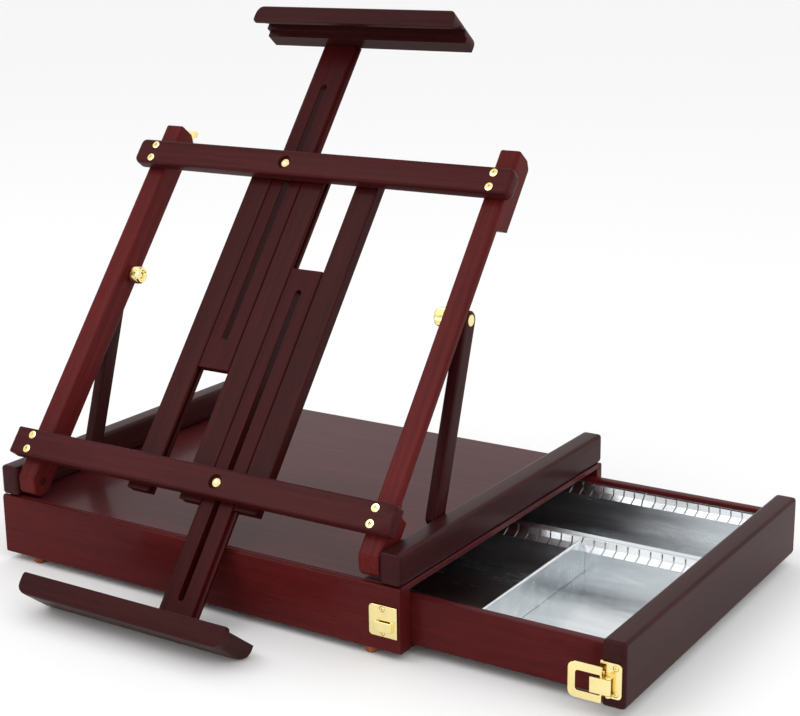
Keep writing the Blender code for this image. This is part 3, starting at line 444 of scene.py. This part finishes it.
def extruded(bm, outline, low, high):
    """Add a closed bar to bm: an outline in x and z, run along y from low to high."""
    near = [bm.verts.new((x, low, z)) for x, z in outline]
    far = [bm.verts.new((x, high, z)) for x, z in outline]
    bm.faces.new(near)
    bm.faces.new(list(reversed(far)))
    for index in range(len(outline)):
        after = (index + 1) % len(outline)
        bm.faces.new((near[after], near[index], far[index], far[after]))


def make_divider():
    """The lift-out divider: a thin sheet whose top edge is rolled into a bead."""
    low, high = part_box("drawer_divider")
    roll = (high.x - low.x) / 2
    centre = (low.x + high.x) / 2
    half = DIVIDER_HALF_SHEET
    neck = math.asin(half / roll)
    bead_z = high.z - roll
    bead = []
    for step in range(BEAD_STEPS + 1):
        angle = -math.pi / 2 + neck + (2 * math.pi - 2 * neck) * step / BEAD_STEPS
        bead.append((centre + roll * math.cos(angle), bead_z + roll * math.sin(angle)))
    sheet = [(centre - half, low.z), (centre + half, low.z)]
    rear = high.y - COMB_REACH - COMB_CLEAR
    bm = bmesh.new()
    extruded(bm, sheet + bead, low.y, rear)
    extruded(bm, sheet + [(centre + half, bead_z - roll), (centre - half, bead_z - roll)], rear, high.y)
    bmesh.ops.recalc_face_normals(bm, faces=bm.faces)
    smoothed(bm, CUT_CREASE)
    joined("drawer_divider_finish", bm, "drawer_divider", TIN)


def make_comb(name, edge_y, direction, low_x, high_x, top_z, straight_x):
    """A sheet flange folded down from an edge, cut into tabs by bent slots.

    direction is the sign of y in which it leans; the slot at straight_x holds the divider.
    """
    path = [(0, 0), (COMB_REACH * 0.30, 0), (COMB_REACH * 0.72, -COMB_DROP * 0.45), (COMB_REACH, -COMB_DROP)]
    count = round((high_x - low_x) / COMB_PITCH)
    first = straight_x - COMB_PITCH * math.floor((straight_x - low_x) / COMB_PITCH)
    cuts = [first + COMB_PITCH * index for index in range(count + 1)]
    cuts = [x for x in cuts if low_x + COMB_SLOT < x < high_x - COMB_SLOT]
    bm = bmesh.new()
    rows = []
    for index, (reach, drop) in enumerate(path):
        row = [low_x]
        for x in cuts:
            bend = COMB_BEND if index == 2 and abs(x - straight_x) > COMB_PITCH / 2 else 0.0
            half = COMB_SLOT / 2
            row += [x + bend - half, x + bend + half]
        row.append(high_x)
        rows.append([bm.verts.new((x, edge_y + direction * reach, top_z + drop)) for x in row])
    for index in range(len(path) - 1):
        for column in range(len(rows[0]) - 1):
            in_slot = column % 2 == 1
            open_above = in_slot and abs(cuts[column // 2] - straight_x) < COMB_PITCH / 2
            if in_slot and (index >= 1 or open_above):
                continue
            bm.faces.new((rows[index][column], rows[index][column + 1],
                          rows[index + 1][column + 1], rows[index + 1][column]))
    bmesh.ops.recalc_face_normals(bm, faces=bm.faces)
    mesh = bpy.data.meshes.new(name)
    bm.to_mesh(mesh)
    bm.free()
    comb = bpy.data.objects.new(name, mesh)
    bpy.context.scene.collection.objects.link(comb)
    mesh.materials.append(TIN)
    thick = comb.modifiers.new("sheet", "SOLIDIFY")
    thick.thickness = COMB_SHEET
    thick.offset = 0
    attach(comb, BODIES["drawer_liner"])


def make_combs():
    """The slotted flanges along the back of each compartment."""
    low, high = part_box("drawer_liner")
    divider_low, divider_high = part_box("drawer_divider")
    straight_x = (divider_low.x + divider_high.x) / 2
    top_z = high.z - COMB_SHEET
    inset = 1.5 * MM
    wall = 0.9 * MM
    make_comb("liner_comb_back", high.y - wall, -1, low.x + inset, high.x - inset, top_z, straight_x)
    front_edge = divider_high.y + COMB_CLEAR / 2
    make_comb("liner_comb_front", front_edge, -1, low.x + inset, high.x - inset, top_z, straight_x)


make_divider()
make_combs()

PIECES_MADE = {"drawer_divider"}
for node in sorted(NODES):
    if "_screw_" in node:
        in_frame = BODIES[node] == "frame"
        screw(node, FORWARD if in_frame else (0, -1, 0))
        PIECES_MADE.add(node)
for node, axis in (("left_thumb_nut", (1, 0, 0)), ("right_thumb_nut", (-1, 0, 0))):
    knurled_nut(node, axis, THUMB_NUT_DISH)
    PIECES_MADE.add(node)
for node in ("upper_clamp_nut", "lower_clamp_nut"):
    knurled_nut(node, [-part for part in FORWARD], CLAMP_NUT_DISH)
    PIECES_MADE.add(node)

for node in sorted(set(NODES) - PIECES_MADE):
    if SLOTS[node] in ("mahogany", "plywood"):
        refined(node, BOARD_SOFT if node in BOARDS else WOOD_SOFT)
    elif node in ("latch_base", "latch_lever", "latch_bail", "keeper_plate"):
        refined(node, PLATE_SOFT)
    else:
        refined(node)


# ---------------------------------------------------------------- studio

def make_floor():
    bm = bmesh.new()
    bmesh.ops.create_grid(bm, x_segments=1, y_segments=1, size=FLOOR_HALF)
    mesh = bpy.data.meshes.new("studio_floor")
    bm.to_mesh(mesh)
    bm.free()
    floor = bpy.data.objects.new("studio_floor", mesh)
    floor.location.z = FLOOR_Z
    bpy.context.scene.collection.objects.link(floor)
    material, tree, shader = new_material("pale_floor")
    shader.inputs["Base Color"].default_value = (0.92, 0.92, 0.92, 1)
    shader.inputs["Roughness"].default_value = 0.9
    mesh.materials.append(material)


def area_light(name, place, target, size, power):
    data = bpy.data.lights.new(name, "AREA")
    data.shape = "RECTANGLE"
    data.size, data.size_y = size
    data.energy = power
    lamp = bpy.data.objects.new(name, data)
    lamp.location = place
    lamp.rotation_euler = (Vector(target) - Vector(place)).to_track_quat("-Z", "Y").to_euler()
    bpy.context.scene.collection.objects.link(lamp)


def make_world(strength):
    world = bpy.data.worlds.new("studio")
    world.use_nodes = True
    background = world.node_tree.nodes["Background"]
    background.inputs["Color"].default_value = (1, 1, 1, 1)
    background.inputs["Strength"].default_value = strength
    bpy.context.scene.world = world


def make_camera():
    data = bpy.data.cameras.new("camera")
    data.sensor_width = 36.0
    data.sensor_fit = "HORIZONTAL"
    data.lens = CAMERA_LENS
    camera = bpy.data.objects.new("camera", data)
    yaw, pitch, roll = CAMERA_YAW, CAMERA_PITCH, CAMERA_ROLL
    forward = Vector((-math.sin(yaw) * math.cos(pitch), math.cos(yaw) * math.cos(pitch), math.sin(pitch)))
    right = Vector((math.cos(yaw), math.sin(yaw), 0))
    up = right.cross(forward)
    turned_right = right * math.cos(roll) + up * math.sin(roll)
    turned_up = up * math.cos(roll) - right * math.sin(roll)
    basis = Matrix((turned_right, turned_up, -forward)).transposed().to_4x4()
    camera.matrix_world = Matrix.Translation(CAMERA_PLACE) @ basis
    bpy.context.scene.collection.objects.link(camera)
    bpy.context.scene.camera = camera


make_floor()
make_world(1.0)
area_light("key", (-1.2, -1.6, 2.2), (0, 0, 0.15), (1.6, 1.2), KEY_POWER)
area_light("fill", (1.8, -1.0, 1.4), (0.1, 0, 0.1), (1.2, 1.2), FILL_POWER)
make_camera()
bpy.context.scene.view_settings.view_transform = "Standard"
